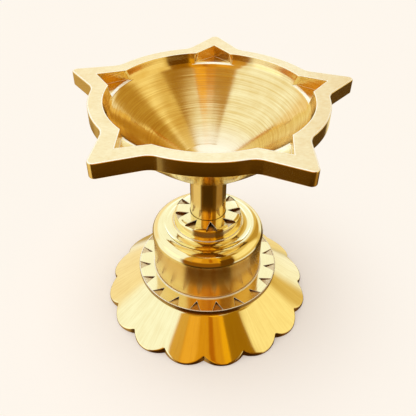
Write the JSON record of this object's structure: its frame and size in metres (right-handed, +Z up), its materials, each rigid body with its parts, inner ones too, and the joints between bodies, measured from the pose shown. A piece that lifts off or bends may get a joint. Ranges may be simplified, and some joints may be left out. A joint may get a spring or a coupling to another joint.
{
  "type": "pedestal oil lamp",
  "caption": "Brass devotional oil lamp: a five-pointed star bowl with wick pockets on a stem, notched collar, drum and scalloped conical foot, held by a tie bolt.",
  "frame": {"origin": "middle of the bounding box, on the plane that the foot stands on; the lamp's turned axis is at Y -4.6 mm", "axes": "+Z up along the turned axis, +Y towards the point of the star that lies on the middle plane, +X across the widest pair of points"},
  "size_m": [0.0952, 0.0908, 0.0882],
  "materials": {
    "satin_brass": "lapped flat and lathe-brushed inside, satin",
    "brushed_brass": "brushed, satin",
    "polished_brass": "turned and buffed to a mirror",
    "plated_steel": "zinc plated, dull"
  },
  "bodies": {
    "base": {"scalloped_skirt": "polished_brass", "foot_ring": "polished_brass", "drum_body": "polished_brass", "notched_collar": "polished_brass", "stem": "brushed_brass", "flat_washer": "plated_steel", "spring_washer": "plated_steel"},
    "bolt": {"tie_bolt": "plated_steel"},
    "bowl": {"star_bowl": "satin_brass"}
  },
  "joints": [
    {"name": "bolt_turn", "type": "hinge", "parent": "base", "child": "bolt", "pos_m": [0, -0.0046, 0.004], "axis": [0, 0, -1], "range_deg": [0, 2521]},
    {"name": "bowl_lift", "type": "slide", "parent": "base", "child": "bowl", "axis": [0, 0, 1], "range_m": [0, 0.007]}
  ],
  "couplings": [
    {"joint": "bolt_turn", "follows": "bowl_lift", "rad_per_m": 6283.2}
  ]
}
